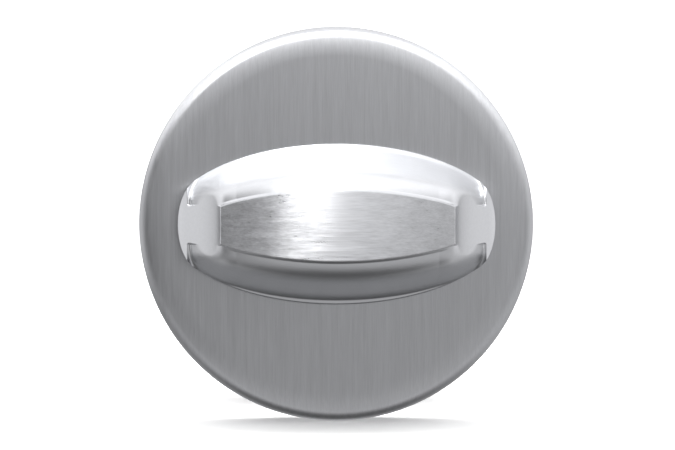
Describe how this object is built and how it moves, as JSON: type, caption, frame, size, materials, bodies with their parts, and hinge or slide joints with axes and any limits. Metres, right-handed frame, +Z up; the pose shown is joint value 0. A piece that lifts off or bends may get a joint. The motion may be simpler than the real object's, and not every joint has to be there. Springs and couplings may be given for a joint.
{
  "type": "deadbolt door lock",
  "caption": "Deadbolt door lock: round rose with a wide lens-shaped thumb turn, bolted through the door to a keyed cylinder in a tapered collar, with a tailpiece between.",
  "frame": {"origin": "on the lock's turning axis, in the plane where the rose and its mounting plate rest on the door's inner face", "axes": "+Y along the lock's axis from the room to the street, +X to the right along the resting thumb turn as seen from the room, +Z up"},
  "size_m": [0.065, 0.1188, 0.065],
  "materials": {
    "satin_nickel": "brushed satin nickel plate on die-cast zinc and pressed steel, lacquered",
    "zinc_plated_steel": "stamped steel with a thin bright zinc plate",
    "spring_steel": "hardened spring steel, oiled",
    "white_nylon": "moulded natural nylon, matt",
    "bare_brass": "turned brass, uncoated",
    "bright_nickel": "nickel-plated brass, tumbled bright"
  },
  "bodies": {
    "lock_frame": {"inside_rose": "satin_nickel", "turn_bush": "white_nylon", "wave_washer": "spring_steel", "mounting_plate": "zinc_plated_steel", "rose_set_screw": "spring_steel", "through_bolts": "zinc_plated_steel", "outside_collar": "satin_nickel", "cylinder_housing": "satin_nickel", "driver_pins": "bare_brass", "pin_springs": "spring_steel", "chamber_cover": "bare_brass"},
    "turn_train": {"thumb_turn": "satin_nickel", "thrust_washer": "zinc_plated_steel", "stop_disc": "zinc_plated_steel", "retaining_clip": "spring_steel", "tailpiece": "zinc_plated_steel"},
    "plug_train": {"key_plug": "bare_brass", "plug_cap": "bare_brass", "house_key": "bright_nickel", "key_pin_1": "bare_brass", "key_pin_2": "bare_brass", "key_pin_3": "bare_brass", "key_pin_4": "bare_brass", "key_pin_5": "bare_brass"}
  },
  "joints": [
    {"name": "thumb_turn_spin", "type": "hinge", "parent": "lock_frame", "child": "turn_train", "pos_m": [0, 0, 0], "axis": [0, 1, 0], "range_deg": [0, 90]},
    {"name": "key_plug_spin", "type": "hinge", "parent": "lock_frame", "child": "plug_train", "pos_m": [0, 0.063, 0], "axis": [0, 1, 0], "range_deg": [-90, 90]}
  ]
}
